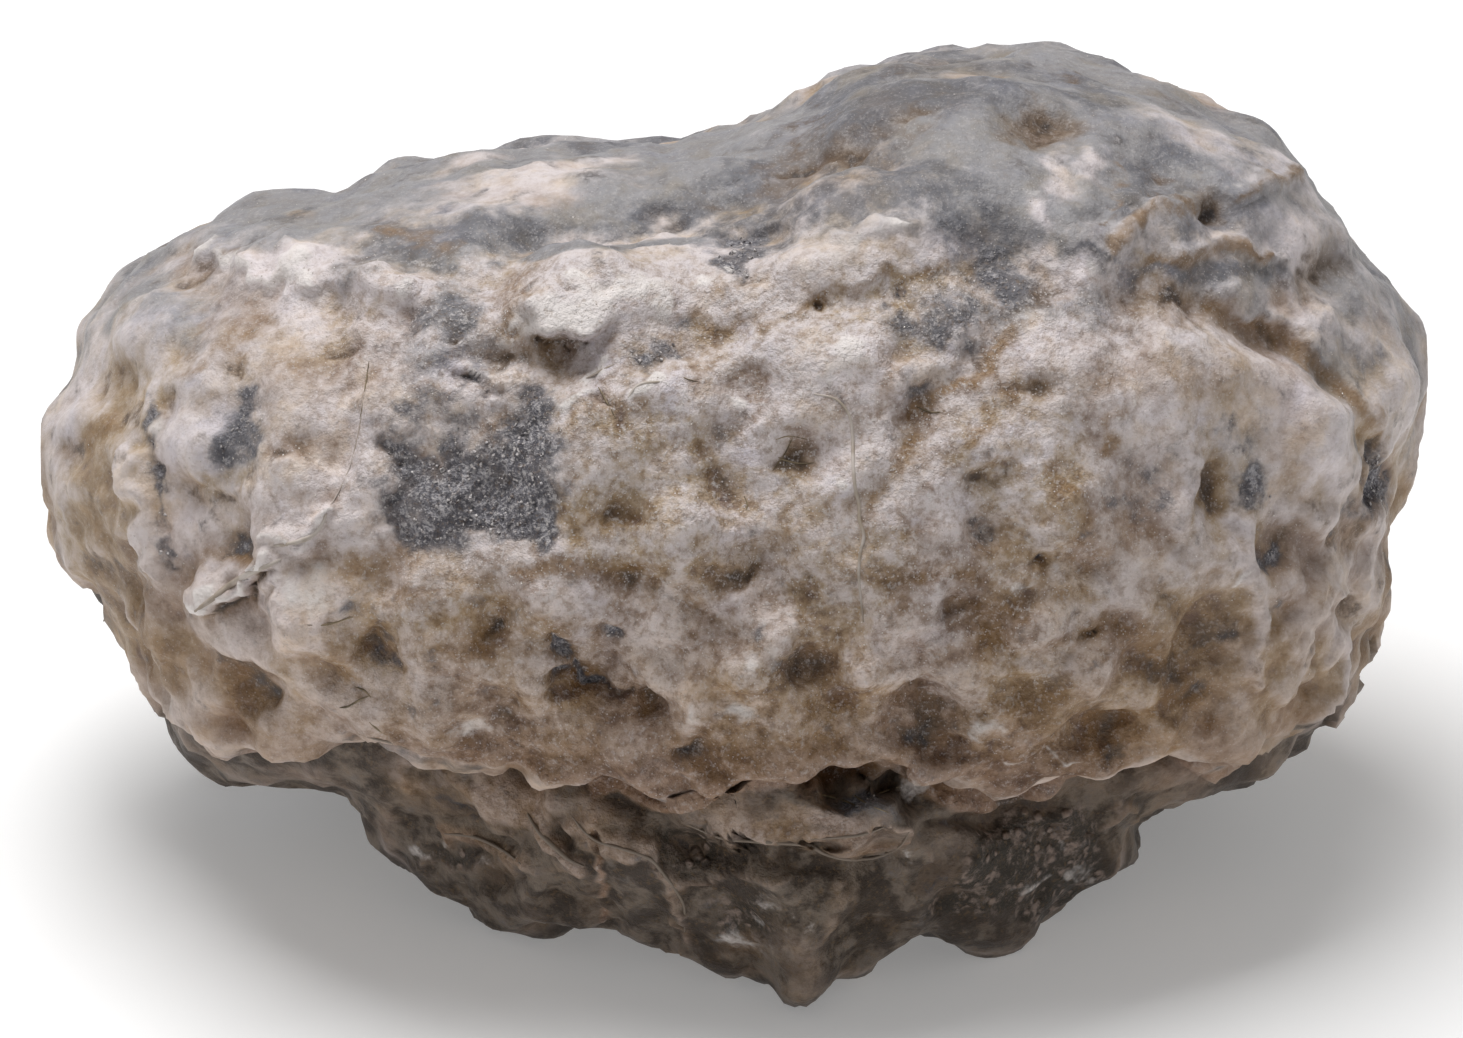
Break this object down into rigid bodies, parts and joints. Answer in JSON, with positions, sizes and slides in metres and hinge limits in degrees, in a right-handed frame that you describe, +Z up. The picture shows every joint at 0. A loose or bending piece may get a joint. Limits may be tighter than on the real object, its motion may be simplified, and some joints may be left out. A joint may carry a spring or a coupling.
{
  "type": "fossil crinoid calyx",
  "caption": "A crushed fossil crinoid calyx: a rough, pitted stone whose broad crown of squeezed plates overhangs a narrower cup that it rests on.",
  "frame": {"origin": "On the ground under the middle of the stone's bounding box.", "axes": "+Z up. +X runs along the stone's length, to the right as its best side is looked at. +Y runs from the best side to the back: the best side faces -Y and looks up at about 30 degrees."},
  "size_m": [0.04, 0.0266, 0.0235],
  "materials": {
    "fossil_stone": "Fossil stone, by its look silicified limestone, with a waxy pinkish beige skin, ochre in the recesses, grey grainy matrix in the worn patches and small white crystals."
  },
  "bodies": {
    "root": {"calyx": "fossil_stone"}
  },
  "joints": []
}
